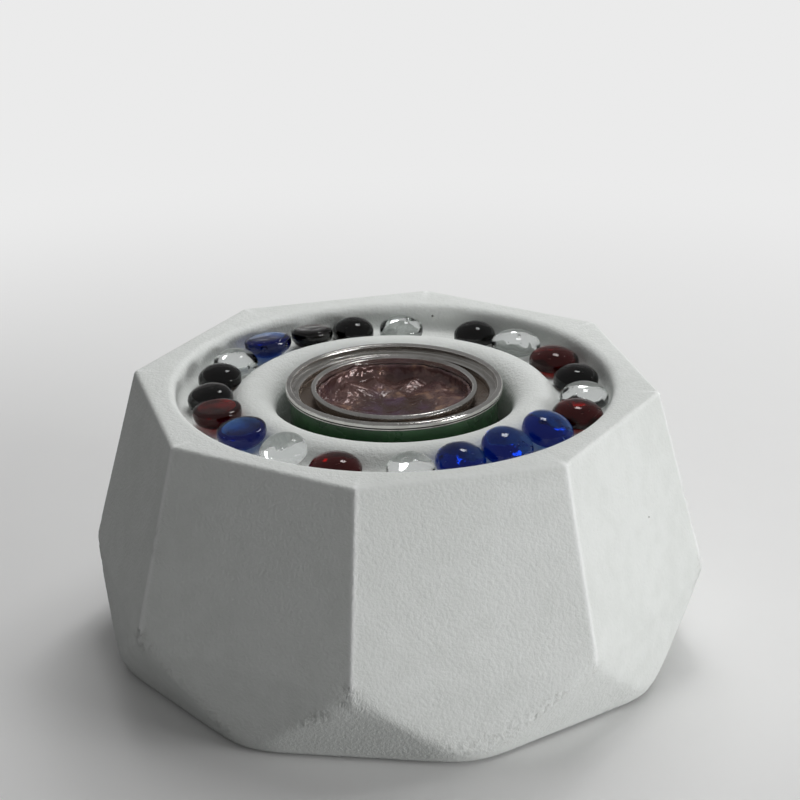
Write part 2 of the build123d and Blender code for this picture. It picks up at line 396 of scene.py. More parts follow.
# rings of the blank, each with what castingFields names
def castingRows(c):
    rings, facts = [], []

    def addRing(radius, height, turned=0, share=1, inset=0):
        rings.append((radius, height))
        facts.append((radius * mm, turned, share, inset * mm))

    wide = c["waistRadius"]
    quarter = [math.radians(90 * k / c["bendRings"]) for k in range(1, c["bendRings"] + 1)]
    for k in range(1, c["bottomRings"] + 1):
        share = (k / c["bottomRings"]) ** c["bottomEasing"]
        addRing(wide, c["underside"], share=share, inset=c["footRound"])
    for t in quarter:
        addRing(wide, c["underside"] + c["footRound"] * (1 - math.cos(t)),
                inset=c["footRound"] * (1 - math.sin(t)))
    low, high = c["underside"] + c["footRound"], c["rimHeight"] - c["rimRound"]
    count = math.ceil((high - low) / c["step"])
    for k in range(1, count + 1):
        addRing(wide, low + (high - low) * k / count)
    for t in quarter:
        addRing(wide, high + c["rimRound"] * math.sin(t), inset=c["rimRound"] * (1 - math.cos(t)))

    lip = c["channelRadius"] + c["wallSlope"]
    corners = [(lip + c["lipRun"], c["rimHeight"]), (lip, c["rimHeight"]),
               (c["channelRadius"], c["channelFloor"]), (c["islandFoot"], c["channelFloor"]),
               (c["islandShoulder"], c["islandCrest"]), (c["wellRadius"], c["islandCrest"]),
               (c["wellFloorRadius"], c["wellFloor"]), (c["axisGap"], c["wellFloor"])]
    hollow = roundedLine(corners, c["cornerRounds"], c["step"])
    hollow = [point for point in hollow if point.x < lip + c["cornerRounds"][0]]
    for k in range(1, c["rimRings"]):
        addRing(hollow[0].x, c["rimHeight"], turned=k / c["rimRings"], inset=c["rimRound"])
    kept = [hollow[0]]
    for point in hollow[1:]:
        deep = point.y < c["channelFloor"] - c["deepFrom"]      # fewer rings down in the well
        if not deep or (point - kept[-1]).length > c["deepStep"] or point is hollow[-1]:
            kept.append(point)
    for point in kept:
        addRing(point.x, point.y, turned=1, share=0)
    return rings, facts


# the columns stand closer together along the creases
def castingBlank(c):
    rings, facts = castingRows(c)
    even = [2 * math.pi * k / c["columns"] for k in range(c["columns"])]
    angles = [t + c["crowding"] / c["facets"] * math.sin(c["facets"] * t) for t in even]
    mesh = skinRings("bowl_casting", c["underside"], rings, c["wellFloor"], angles)
    ringFields(mesh, castingFields, (0, 0, 0, 0), facts, (0, 1, 0, 0), len(angles))
    return mesh


def facetTree(wear):
    tree, given, result, here = newTree("cutFacets", [
        "Facets", "Rim Apothem", "Waist Apothem", "Foot Apothem", "Foot Flare", "Rim Height",
        "Waist Height", "Underside", "Upright Crease", "Slant Crease", "Corner Softness",
        "Waist Crease", "Foot Corner", "Unevenness", "Chip Depth", "Seed"])
    split = apart(tree, here)
    turnedRadius, turned, share, inset = [meshField(tree, name) for name in castingFields]

    # angle from the middle of the nearest leaning facet
    turn = calc(tree, "DIVIDE", 2 * math.pi, given["Facets"])
    angle = calc(tree, "ARCTAN2", split[1], split[0])
    turns = calc(tree, "DIVIDE", angle, turn)
    aside = times(tree, gapBetween(tree, turns, calc(tree, "ROUND", turns)), turn)

    def facetRadius(apothem, angleAside, softness):
        near = calc(tree, "DIVIDE", apothem, calc(tree, "COSINE", angleAside))
        far = calc(tree, "DIVIDE", apothem, calc(tree, "COSINE", minus(tree, turn, angleAside)))
        return calc(tree, "SMOOTH_MIN", near, far, softness), minus(tree, far, near)

    def within(value, name, outLow=1.0, outHigh=0.0):
        low, high = wear[name]
        return fade(tree, value, low * mm, high * mm, outLow, outHigh)

    aboveWaist = minus(tree, split[2], given["Waist Height"])
    lean = calc(tree, "DIVIDE", minus(tree, given["Waist Apothem"], given["Rim Apothem"]),
                minus(tree, given["Rim Height"], given["Waist Height"]))
    leaning = minus(tree, given["Waist Apothem"], times(tree, aboveWaist, lean))
    apothem = calc(tree, "SMOOTH_MIN", given["Waist Apothem"], leaning, given["Waist Crease"])
    upper, upperGap = facetRadius(apothem, aside, given["Upright Crease"])

    aboveFoot = minus(tree, split[2], given["Underside"])
    footApothem = calc(tree, "MULTIPLY_ADD", aboveFoot, given["Foot Flare"], given["Foot Apothem"])
    fromSlant = minus(tree, times(tree, turn, 0.5), aside)
    lower = facetRadius(footApothem, fromSlant, given["Foot Corner"])[0]

    # the waist corners are rounder than the creases
    atCorner = within(upperGap, "corner")
    softness = calc(tree, "MULTIPLY_ADD", atCorner, given["Corner Softness"], given["Slant Crease"])
    outline = calc(tree, "SMOOTH_MIN", upper, lower, softness)

    # chips and wear along the creases, most of them where creases meet
    moved = vectorCalc(tree, "ADD", here, given["Seed"])
    outside = minus(tree, 1.0, turned)
    overSlant = minus(tree, lower, upper)        # more than nothing on the leaning facets
    upright = times(tree, within(upperGap, "upright"), within(aboveWaist, "uprightFoot", 0.0, 1.0))
    slant = times(tree, within(gapBetween(tree, overSlant), "slant"),
                  within(aboveWaist, "slantTop"))
    meeting = times(tree, within(upperGap, "meeting"),
                    within(gapBetween(tree, aboveWaist), "meetingHeight"))
    edge = largest(tree, times(tree, upright, wear["uprightShare"]), slant,
                   within(aboveFoot, "foot", wear["footShare"]),
                   times(tree, meeting, wear["meetingShare"]))
    patches = largest(tree, fadedNoise(tree, moved, wear, "patch"),
                      times(tree, meeting, fadedNoise(tree, moved, wear, "knock")))
    crumbs = fadedNoise(tree, moved, wear, "crumb")
    band = times(tree, within(overSlant, "bandStart", 0.0, 1.0), within(overSlant, "bandEnd"),
                 within(aboveWaist, "bandTop"), fadedNoise(tree, moved, wear, "band"))
    chipped = times(tree, patches, crumbs, edge)
    crumbled = times(tree, band, crumbs, wear["bandShare"])
    worn = times(tree, largest(tree, chipped, crumbled), outside)

    wave = minus(tree, noise(tree, moved, *wear["wave"]), 0.5)
    heave = times(tree, wave, given["Unevenness"])
    cut = calc(tree, "ADD", outline, minus(tree, heave, times(tree, worn, given["Chip Depth"])))
    cut = times(tree, minus(tree, cut, inset), share)
    radius = mixNumber(tree, turned, cut, turnedRadius)
    spot = combine(tree, times(tree, radius, calc(tree, "COSINE", angle)),
                   times(tree, radius, calc(tree, "SINE", angle)),
                   calc(tree, "MULTIPLY_ADD", heave, turned, split[2]))
    kept = storeField(tree, given["Geometry"], "worn", worn)
    # crease: the upright creases, where the concrete gets a painted highlight
    kept = storeField(tree, kept, "crease", times(tree, upright, outside))
    return finishTree(tree, kept, {"Position": spot}, given, result)


flat = math.cos(math.pi / casting["facets"])
bowl = newPiece("bowl_casting", castingBlank(casting))
runTree(bowl, facetTree(casting["wear"]), {
    "Facets": float(casting["facets"]),
    "Rim Apothem": casting["rimRadius"] * flat * mm,
    "Waist Apothem": casting["waistRadius"] * flat * mm,
    "Foot Apothem": (casting["waistRadius"] - casting["footInset"]) * mm,
    "Foot Flare": casting["footInset"] / (casting["waistHeight"] - casting["underside"]),
    **lengths(casting, "rimHeight", "waistHeight", "underside", "uprightCrease", "slantCrease",
              "cornerSoftness", "waistCrease", "footCorner", "unevenness", "chipDepth"),
    "Seed": casting["seed"],
    "Material": castConcrete(casting["concrete"]),
})
dropFields(bowl, castingFields)
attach(bowl, "bowl")
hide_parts("fire_bowl")
print("casting: %d faces" % len(bowl.data.polygons))


# glass beads: one pressed shape, and four glasses
glassBead = {
    "height": 9.3, "edgeHeight": 3.4, "flatness": 0.36,
    "dish": 0.35, "wobble": 0.04, "ripple": 0.05,
    "turnedChill": 0.25,        # how much a bead that lies flat side up shows of its chill marks
    "firstSeed": 1.3, "seedStep": 3.7, "turnStep": 1.9,
    "around": 64, "rings": 44,
    "shape": {       # of a ball of radius 1, before it is pressed
        "sway": (0.75, 1.0), "heave": (1.3, 1.0), "dents": (2.6, 2.0),
        "crownShare": 0.99, "soleRange": (-0.02, -0.30), "dishRange": (0.85, 0.30),
    },
    "glass": {
        "ior": 1.50,
        "swirl": (75.0, 3.0, 0.6), "swirlRange": (0.35, 0.68),
        "ripples": (190.0, 1.0, 0.5), "rippleDepth": 0.00065,
        "rippleOnSole": (0.0, 1.0, 0.12, 1.0),
        "bubbleScale": 420.0, "bubbleRange": (0.22, 0.10),
        "bubbleShare": 0.55, "bubbleDepth": 0.00012,
        "roughness": (0.0, 1.0, 0.012, 0.06),
    },
    "tints": {       # what a metre of each glass takes off, and the faint swirl in it
        "cobalt": {"absorb": (0.025, 0.42, 0.76), "density": 400.0,
                   "veil": (0.80, 0.88, 1.0), "pale": (0.97, 0.98, 1.0)},
        "amber": {"absorb": (0.84, 0.14, 0.02), "density": 1000.0,
                  "veil": (1.0, 0.85, 0.72), "pale": (1.0, 0.98, 0.95)},
        "smoke": {"absorb": (0.36, 0.15, 0.08), "density": 700.0,
                  "veil": (0.82, 0.78, 0.78), "pale": (0.95, 0.93, 0.93)},
        "clear": {"absorb": (0.25, 0.60, 0.45), "density": 4.0,
                  "veil": (0.97, 0.99, 0.98), "pale": (1.0, 1.0, 1.0)},
    },
}


def beadGlass(colour, tint, look):
    material, tree, shader, place = newMaterial("%s glass" % colour)
    swirl = fadedNoise(tree, place, look, "swirl")
    sole = readField(tree, "sole")
    ripples = noise(tree, place, *look["ripples"])
    distance, chosen = scatter(tree, place, look["bubbleScale"])
    bubble = times(tree, fade(tree, distance, *look["bubbleRange"]),
                   calc(tree, "GREATER_THAN", chosen, look["bubbleShare"]))
    ripples = times(tree, ripples, fade(tree, sole, *look["rippleOnSole"]))
    fillInputs(tree, shader, {
        "Base Color": mixColour(tree, swirl, tint["veil"], tint["pale"]),
        "Roughness": fade(tree, sole, *look["roughness"]),
        "Transmission Weight": 1.0,
        "IOR": look["ior"],
        "Normal": layBumps(tree, (ripples, look["rippleDepth"]), (bubble, look["bubbleDepth"])),
    })
    body = addNode(tree, "ShaderNodeVolumeAbsorption",
                   {"Color": (*tint["absorb"], 1.0), "Density": tint["density"]})
    tree.links.new(body.outputs[0], tree.nodes["Material Output"].inputs["Volume"])
    return material


def beadTree(shape):
    tree, given, result, here = newTree("pressedBead", [
        "Width", "Height", "Edge Height", "Flatness", "Dish", "Wobble", "Ripple", "Chill", "Seed"],
        ["Around", "Rings"])
    ball = addNode(tree, "GeometryNodeMeshUVSphere",
                   {"Segments": given["Around"], "Rings": given["Rings"], "Radius": 1.0})
    out, split = fromAxis(tree, here)
    up = largest(tree, split[2], 0.0)
    down = largest(tree, times(tree, split[2], -1.0), 0.0)
    moved = vectorCalc(tree, "ADD", here, given["Seed"])
    sway = minus(tree, noise(tree, moved, *shape["sway"]), 0.5)
    half = times(tree, given["Width"], calc(tree, "MULTIPLY_ADD", sway, given["Wobble"], 0.5))
    heave = minus(tree, noise(tree, moved, *shape["heave"]), 0.5)
    heave = calc(tree, "MULTIPLY_ADD", heave, given["Wobble"], shape["crownShare"])
    crown = times(tree, minus(tree, given["Height"], given["Edge Height"]), up, heave)
    onSole = fade(tree, split[2], *shape["soleRange"])
    dish = times(tree, given["Dish"], fade(tree, out, *shape["dishRange"]), onSole)
    dent = times(tree, given["Ripple"], noise(tree, moved, *shape["dents"]), onSole)
    drop = times(tree, given["Edge Height"], calc(tree, "POWER", down, given["Flatness"]))
    drop = minus(tree, drop, calc(tree, "ADD", dish, dent))
    height = minus(tree, calc(tree, "ADD", given["Edge Height"], crown), drop)
    spot = combine(tree, times(tree, split[0], half), times(tree, split[1], half), height)
    kept = storeField(tree, ball.outputs[0], "sole", times(tree, onSole, given["Chill"]))
    return finishTree(tree, kept, {"Position": spot}, given, result)


# where the CAD bead's flat side lies and which way its crown points, and the bead's width
def beadSeat(node):
    mesh = node.data
    sides = {}
    for face in mesh.polygons:
        key = tuple(round(v, 2) for v in face.normal)
        area, middle = sides.get(key, (0.0, Vector()))
        sides[key] = (area + face.area, middle + face.center * face.area)
    key, (area, middle) = max(sides.items(), key=lambda side: side[1][0])
    crown = -Vector(key).normalized()
    middle = middle / area
    spokes = [v.co - middle for v in mesh.vertices]
    width = 2 * max((spoke - crown * spoke.dot(crown)).length for spoke in spokes)
    turn = Vector((0, 0, 1)).rotation_difference(crown)
    return Matrix.Translation(middle) @ turn.to_matrix().to_4x4(), width


pressedBead = beadTree(glassBead["shape"])
glasses = {colour: beadGlass(colour, tint, glassBead["glass"])
           for colour, tint in glassBead["tints"].items()}
beadNames = sorted(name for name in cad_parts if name.startswith("bead_"))
for index, name in enumerate(beadNames):
    seat, width = beadSeat(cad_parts[name])
    colour = name.split("_")[1]
    bead = newPiece("glass_" + name, bpy.data.meshes.new("glass_" + name))
    runTree(bead, pressedBead, {
        "Width": width,
        **lengths(glassBead, "height", "edgeHeight", "dish", "ripple"),
        "Flatness": glassBead["flatness"],
        "Wobble": glassBead["wobble"],
        "Chill": 1.0 if seat[2][2] > 0 else glassBead["turnedChill"],
        "Seed": glassBead["seedStep"] * index + glassBead["firstSeed"],
        "Around": glassBead["around"],
        "Rings": glassBead["rings"],
        "Material": glasses[colour],
    })
    bead.data.transform(seat @ Matrix.Rotation(glassBead["turnStep"] * index, 4, "Z"))
    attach(bead, name)
    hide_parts(name)
print("beads: %d" % len(beadNames))


# fuel can: a Drop or Height, and the depths of its ends, are from the can's own top or bottom
fuelCan = {
    "top": 113.0, "bottom": 13.0, "wall": 0.3, "steps": 224,
    "seamRadius": 43.65, "seamHeight": 3.1,
    "seamRounds": [0.4, 0.05, 0.05, 0.05, 0.95, 0.85], "seamStep": 0.2,
    "seamGap": 0.05, "seamClear": 1.0,
    "grooveUp": 0.95, "grooveDepth": 0.30, "grooveHalf": 0.2,
    "chuckRadius": 41.4,
    "shoulderDrop": 3.4,
    "gutterRadius": 38.4, "gutterDrop": 6.4,
    "neckRadius": 31.35,
    "ringBend": 0.6, "ringStep": 0.3,
    "curlRadius": 1.05, "curlDrop": 2.3, "curlWrap": 235, "curlSteps": 24,
    "countersink": 4.2, "sinkWidth": 3.0,
    "panelDepth": 2.6, "panelStepRadius": 30.0, "panelStepDepth": 3.6,
    "endBend": 0.45, "endStep": 0.6, "axisGap": 0.2,
    "bodyRadius": 41.9, "bodyInset": 0.8, "bodyRows": 24,
    "lapWidth": 4.4, "lapHeight": 0.2, "lapInset": 4.0,
    "tin": {
        "bright": (0.70, 0.685, 0.66), "dull": (0.47, 0.445, 0.42),
        "smear": (65.0, 4.0, 0.6), "smearRange": (0.45, 0.75),
        # heated is heat tint and a painted reflection of the flame's orange light
        "heatTintAndReflection": (0.30, 0.235, 0.19),
        "tintAndReflection": (110.0, 3.0, 0.6), "tintAndReflectionRange": (0.25, 0.55, 0.65, 1.0),
        "tintAndReflectionHeight": (-0.2, 0.6),     # from the shoulder and from the gutter
        "tintAndReflectionRadius": (0.5, -0.3),     # from the gutter's radius
        # soot is a painted shade line in the seam's hook groove
        "hookShade": (0.05, 0.04, 0.035), "hookShadeRange": (0.16, 0.36), "hookShadeDepth": 0.5,
        "lines": (2600.0, 3.0, 0.6), "lineDepth": 0.00005,
        "dents": (170.0, 2.0), "dentDepth": 0.00022,
        "roughness": (0.3, 0.8, 0.13, 0.26), "tintAndReflectionRoughness": 0.10,
    },
    "paint": {
        "green": (0.020, 0.090, 0.024), "deep": (0.010, 0.056, 0.015),
        "smear": (40.0, 4.0, 0.6), "smearRange": (0.3, 0.7),
        "bareTin": (0.70, 0.685, 0.66), "bareRange": (2.6, 3.0),
        "dents": (240.0, 2.0), "dentDepth": 0.00020,
        "roughness": (0.3, 0.8, 0.24, 0.36), "coat": 0.25, "coatRoughness": 0.12,
    },
}


def rolledTin(can):
    look = can["tin"]
    material, tree, shader, place = newMaterial("rolled tinplate")
    out, split = fromAxis(tree, place)
    lines = noise(tree, calc(tree, "ADD", out, split[2]), *look["lines"], dimensions="1D")
    smear = noise(tree, place, *look["smear"])
    colour = mixColour(tree, fade(tree, smear, *look["smearRange"]), look["bright"], look["dull"])

    # the gutter round the neck is browned: heat tint, and a painted reflection of the flame's
    # orange light
    below = fade(tree, split[2], (can["top"] - can["shoulderDrop"] + look["tintAndReflectionHeight"][0]) * mm,
                 (can["top"] - can["gutterDrop"] + look["tintAndReflectionHeight"][1]) * mm)
    within = fade(tree, out, *((can["gutterRadius"] + run) * mm for run in look["tintAndReflectionRadius"]))
    atTop = calc(tree, "GREATER_THAN", split[2], can["top"] / 2 * mm)
    tintAndReflection = times(tree, below, within, atTop, fadedNoise(tree, place, look, "tintAndReflection"))
    colour = mixColour(tree, tintAndReflection, colour, look["heatTintAndReflection"])

    # painted shade: a dark line along the hook groove of the seam
    hook = (can["top"] - can["seamHeight"] + can["grooveUp"]) * mm
    line = fade(tree, gapBetween(tree, split[2], hook),
                *(v * mm for v in look["hookShadeRange"]), 1.0, 0.0)
    outer = calc(tree, "GREATER_THAN", out, (can["seamRadius"] - look["hookShadeDepth"]) * mm)
    rough = fade(tree, smear, *look["roughness"])
    fillInputs(tree, shader, {
        "Base Color": mixColour(tree, times(tree, line, outer), colour, look["hookShade"]),
        "Metallic": 1.0,
        "Roughness": calc(tree, "ADD", rough, times(tree, tintAndReflection, look["tintAndReflectionRoughness"])),
        "Normal": layBumps(tree, (lines, look["lineDepth"]),
                           (noise(tree, place, *look["dents"]), look["dentDepth"])),
    })
    return material


# green print, left bare along the lapped side seam
def printedTin(look):
    material, tree, shader, place = newMaterial("green printed tin")
    split = apart(tree, place)
    strip = fade(tree, gapBetween(tree, split[1]), *(v * mm for v in look["bareRange"]), 1.0, 0.0)
    bare = times(tree, strip, calc(tree, "GREATER_THAN", split[0], 0.0))
    smear = noise(tree, place, *look["smear"])
    green = mixColour(tree, fade(tree, smear, *look["smearRange"]), look["deep"], look["green"])
    fillInputs(tree, shader, {
        "Base Color": mixColour(tree, bare, green, look["bareTin"]),
        "Metallic": bare,
        "Roughness": fade(tree, smear, *look["roughness"]),
        "Coat Weight": look["coat"],
        "Coat Roughness": look["coatRoughness"],
        "Normal": layBumps(tree, (noise(tree, place, *look["dents"]), look["dentDepth"])),
    })
    return material


# the two sides of a thin sheet whose middle follows the line
def sheetSides(line, thickness):
    left, right = [], []
    for k, point in enumerate(line):
        along = (line[min(k + 1, len(line) - 1)] - line[max(k - 1, 0)]).normalized()
        out = Vector((-along.y, along.x)) * thickness / 2
        left.append(point + out)
        right.append(point - out)
    return left, right


# a can end's outline: the double seam round its edge, then down one side of the sheet and back up
def seamLoop(can, sheet, flip):
    edge = can["bottom"] if flip else can["top"]
    way = 1 if flip else -1
    outer, chuck, half = can["seamRadius"], can["chuckRadius"], can["wall"] / 2
    groove = can["seamHeight"] - can["grooveUp"]
    corners = [(chuck + half, can["seamHeight"]), (outer, can["seamHeight"]),
               (outer, groove + can["grooveHalf"]), (outer - can["grooveDepth"], groove),
               (outer, groove - can["grooveHalf"]), (outer, 0), (chuck - half, 0),
               (chuck - half, can["seamHeight"] / 2)]
    seam = roundedLine(corners, can["seamRounds"], can["seamStep"])
    left, right = sheetSides(sheet, can["wall"])
    if left[0].x > right[0].x:
        left, right = right, left
    back = [point for point in reversed(right)
            if point.y > can["seamHeight"] + can["seamGap"] or point.x < chuck - can["seamClear"]]
    return [(point.x, edge + way * point.y) for point in seam[:-1] + left + back]


# the ring's sheet: chuck wall, shoulder, gutter, neck and the curl over it
def ringLine(can):
    chuck, gutter, neck = can["chuckRadius"], can["gutterRadius"], can["neckRadius"]
    corners = [(chuck, can["seamHeight"] / 2), (chuck, can["shoulderDrop"]),
               (gutter, can["shoulderDrop"]), (gutter, can["gutterDrop"]),
               (neck, can["gutterDrop"]), (neck, can["curlDrop"])]
    line = roundedLine(corners, [can["ringBend"]] * 4, can["ringStep"])
    for k in range(1, can["curlSteps"] + 1):
        t = math.radians(180 + can["curlWrap"] * k / can["curlSteps"])
        line.append(Vector((neck + can["curlRadius"] * (1 + math.cos(t)),
                            can["curlDrop"] + can["curlRadius"] * math.sin(t))))
    return line


# the bottom's sheet: chuck wall, countersink and a stepped panel
def endLine(can):
    chuck, step = can["chuckRadius"], can["panelStepRadius"]
    sink = chuck - can["sinkWidth"]
    corners = [(chuck, can["seamHeight"] / 2), (chuck, can["countersink"]),
               (sink, can["countersink"]), (sink, can["panelDepth"]), (step, can["panelDepth"]),
               (step, can["panelStepDepth"]), (can["axisGap"], can["panelStepDepth"])]
    return roundedLine(corners, [can["endBend"]] * 5, can["endStep"])


# the body's two sides, in rows that the lap can lift
def bodyLoop(can):
    low, high = can["bottom"] + can["bodyInset"], can["top"] - can["bodyInset"]
    heights = [low + (high - low) * k / can["bodyRows"] for k in range(can["bodyRows"] + 1)]
    inner = can["bodyRadius"] - can["wall"]
    return [(can["bodyRadius"], z) for z in heights] + [(inner, z) for z in reversed(heights)]


def liftLap(mesh, can):
    middle = can["bodyRadius"] - can["wall"] / 2
    for vertex in mesh.vertices:
        spot = vertex.co
        outside = spot.x > 0 and math.hypot(spot.x, spot.y) > middle * mm
        clearOfSeams = can["bottom"] + can["lapInset"] < spot.z / mm < can["top"] - can["lapInset"]
        if outside and clearOfSeams and abs(spot.y) < can["lapWidth"] / 2 * mm:
            spot.x += can["lapHeight"] * mm


tin = rolledTin(fuelCan)
ring = spin("tin_lid_ring", seamLoop(fuelCan, ringLine(fuelCan), False), tin, fuelCan["steps"])
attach(ring, "fuel_can")
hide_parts("can_ring")

canEnd = spin("tin_bottom_end", seamLoop(fuelCan, endLine(fuelCan), True), tin, fuelCan["steps"])
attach(canEnd, "fuel_can")
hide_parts("can_bottom")

canWall = spin("green_can_wall", bodyLoop(fuelCan), printedTin(fuelCan["paint"]), fuelCan["steps"])
liftLap(canWall.data, fuelCan)
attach(canWall, "fuel_can")
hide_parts("can_body")
print("can: wall, bottom end and lid ring")


# gel: a dark set surface with a creased skin that clings up the neck
gel = {
    "radius": 41.4, "low": 17.4, "level": 102.9, "neck": 31.0,
    "skinHeight": 5.8, "skinWall": 0.35, "skinFoot": 25.5,
    "skinLean": 1.7, "skinFall": 2.2, "skinFade": 1.5,
    "dish": 3.2, "fold": 4.2, "pleat": 1.2, "ragged": 1.0, "seed": 2.3,
    "around": 240,
    "bottomRings": 8, "shelfRings": 5, "neckRings": 5, "skinRings": 14, "rings": 60,
    "edgeRow": 1.0,
    "lipFold": 0.25, "midFold": 0.45,       # of the whole fold, at the skin's lip and the middle
    "creases": {
        "bend": (45.0, 2.0), "bendReach": 0.012,
        "broad": 40.0, "fine": 125.0, "fineShare": 0.18, "ridgeWidth": 2.4,
        "swell": (40.0, 1.0),
        "pleats": (5.5, 2.0, 0.6), "pleatDepth": 0.30, "pleatRise": 25.0,
        "rags": (2.6, 3.0, 0.6), "ragHeight": 0.52, "neckGain": 3.0,
    },
    "look": {
        "deep": (0.050, 0.022, 0.016), "violet": (0.075, 0.036, 0.066),
        "blotch": (60.0, 4.0, 0.6), "blotchRange": (0.42, 0.62),
        "skin": (0.20, 0.115, 0.105), "skinRange": (0.15, 0.9),
        "streak": (150.0, 3.0, 0.6), "streakRange": (0.38, 0.62, 0.45, 1.0),
        "streakOnSkin": (0.0, 0.9, 0.3, 1.0), "streakDepth": 0.0008,
        "glint": (0.42, 0.25, 0.16), "glintRange": (0.56, 0.72),
        "glintOnSkin": (0.0, 0.6, 0.12, 0.7),
        "grain": (600.0, 2.0), "grainDepth": 0.00020,
        "roughness": (0.3, 0.7, 0.12, 0.28), "metallic": (0.1, 0.9, 0.0, 0.35),
        "coat": 0.35, "coatRoughness": 0.05,
    },
}
gelFields = ("folding", "clinging", "inner", "skin")


def setGel(look):
    material, tree, shader, place = newMaterial("set gel")
    blotch = noise(tree, place, *look["blotch"])
    streak = noise(tree, place, *look["streak"])
    skin = readField(tree, "skin")
    colour = mixColour(tree, fade(tree, blotch, *look["blotchRange"]), look["deep"], look["violet"])
    veil = times(tree, fade(tree, skin, *look["skinRange"]),
                 fade(tree, streak, *look["streakRange"]))
    colour = mixColour(tree, veil, colour, look["skin"])
    glint = times(tree, fade(tree, streak, *look["glintRange"]),
                  fade(tree, skin, *look["glintOnSkin"]))
    relief = times(tree, streak, fade(tree, skin, *look["streakOnSkin"]))
    fillInputs(tree, shader, {
        "Base Color": mixColour(tree, glint, colour, look["glint"]),
        "Metallic": fade(tree, skin, *look["metallic"]),
        "Roughness": fade(tree, blotch, *look["roughness"]),
        "Coat Weight": look["coat"],
        "Coat Roughness": look["coatRoughness"],
        "Normal": layBumps(tree, (relief, look["streakDepth"]),
                           (noise(tree, place, *look["grain"]), look["grainDepth"])),
    })
    return material


def gelTree(c):
    tree, given, result, here = newTree("creasedGel", ["Fold", "Pleat", "Ragged", "Seed"])
    out, split = fromAxis(tree, here)
    folding, clinging, inner = [meshField(tree, name) for name in gelFields[:3]]
    moved = vectorCalc(tree, "ADD", here, given["Seed"])
    bend = noise(tree, moved, *c["bend"], output="Color")
    bent = vectorCalc(tree, "ADD", moved, scaled(tree, bend, c["bendReach"]))

    # sharp ridges between flat panes, at two sizes
    def ridges(scale):
        cells = addNode(tree, "ShaderNodeTexVoronoi", {"Vector": bent, "Scale": scale},
                        feature="DISTANCE_TO_EDGE")
        return minus(tree, 1.0, times(tree, cells.outputs["Distance"], c["ridgeWidth"]))

    broad = times(tree, ridges(c["broad"]), 1 - c["fineShare"])
    crease = calc(tree, "MULTIPLY_ADD", ridges(c["fine"]), c["fineShare"], broad)
    swell = minus(tree, noise(tree, moved, *c["swell"]), 0.5)
    lift = calc(tree, "ADD", minus(tree, crease, 0.5), swell)
    lift = times(tree, lift, given["Fold"], folding)

    # pleats run up the neck, so they depend on the direction more than on the height
    spoke = combine(tree, calc(tree, "DIVIDE", split[0], out), calc(tree, "DIVIDE", split[1], out),
                    times(tree, split[2], c["pleatRise"]))
    pleat = gapBetween(tree, noise(tree, spoke, *c["pleats"]), 0.5)
    pleat = minus(tree, c["pleatDepth"], pleat)
    inward = times(tree, pleat, given["Pleat"], c["neckGain"], clinging)
    ragged = minus(tree, noise(tree, spoke, *c["rags"]), c["ragHeight"])
    ragged = times(tree, ragged, given["Ragged"], c["neckGain"], clinging)
    facing = vectorCalc(tree, "NORMALIZE", vectorCalc(tree, "MULTIPLY", here, (1.0, 1.0, 0.0)))
    slide = scaled(tree, facing, times(tree, inward, inner, -1.0))
    rise = combine(tree, z=calc(tree, "ADD", lift, ragged))
    offset = vectorCalc(tree, "ADD", slide, rise)
    return finishTree(tree, given["Geometry"], {"Offset": offset}, given, result)


# rings of the gel, each with how far it folds, clings to the neck, faces inwards and is skin
def gelBlank(g):
    rings, facts = [], []

    def addRing(radius, height, folding=0, clinging=0, inner=0, skin=0):
        rings.append((radius, height))
        facts.append((folding, clinging, inner, skin))

    for k in range(1, g["bottomRings"] + 1):
        addRing(g["radius"] * k / g["bottomRings"], g["low"])
    addRing(g["radius"], g["level"] - g["edgeRow"])
    for k in range(g["shelfRings"] + 1):
        addRing(g["radius"] + (g["neck"] - g["radius"]) * k / g["shelfRings"], g["level"])
    for k in range(1, g["neckRings"] + 1):
        addRing(g["neck"], g["level"] + g["skinHeight"] * k / g["neckRings"],
                clinging=k / g["neckRings"], skin=1)
    face = g["neck"] - g["skinWall"]
    for k in range(g["skinRings"] + 1):
        s = k / g["skinRings"]
        addRing(face - (face - g["skinFoot"]) * s ** g["skinLean"],
                g["level"] + g["skinHeight"] * (1 - s) ** g["skinFall"],
                folding=g["lipFold"] + (1 - g["lipFold"]) * s, clinging=1 - s,
                inner=1 - s * s, skin=1)
    for k in range(1, g["rings"]):
        s = 1 - k / g["rings"]
        addRing(g["skinFoot"] * s, g["level"] - g["dish"] * (1 - s * s),
                folding=g["midFold"] + (1 - g["midFold"]) * s ** 2, skin=s ** g["skinFade"])
    angles = [2 * math.pi * k / g["around"] for k in range(g["around"])]
    mesh = skinRings("gel_fill", g["low"], rings, g["level"] - g["dish"], angles)
    ringFields(mesh, gelFields, (0, 0, 0, 0), facts, (g["midFold"], 0, 0, 0), len(angles))
    return mesh


gelFill = newPiece("gel_fill", gelBlank(gel))
runTree(gelFill, gelTree(gel["creases"]), {
    **lengths(gel, "fold", "pleat", "ragged"),
    "Seed": gel["seed"],
    "Material": setGel(gel["look"]),
})
dropFields(gelFill, gelFields[:3])
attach(gelFill, "fuel_can")
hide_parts("fuel_gel")
print("gel: %d faces" % len(gelFill.data.polygons))


# pads: the CAD pieces stay, in black rubber
pad = {
    "dark": (0.012, 0.012, 0.013), "dusty": (0.035, 0.035, 0.036),
    "speckle": (700.0, 3.0), "speckleRange": (0.35, 0.65), "speckleDepth": 0.0002,
    "roughness": (0.3, 0.7, 0.65, 0.85),
}


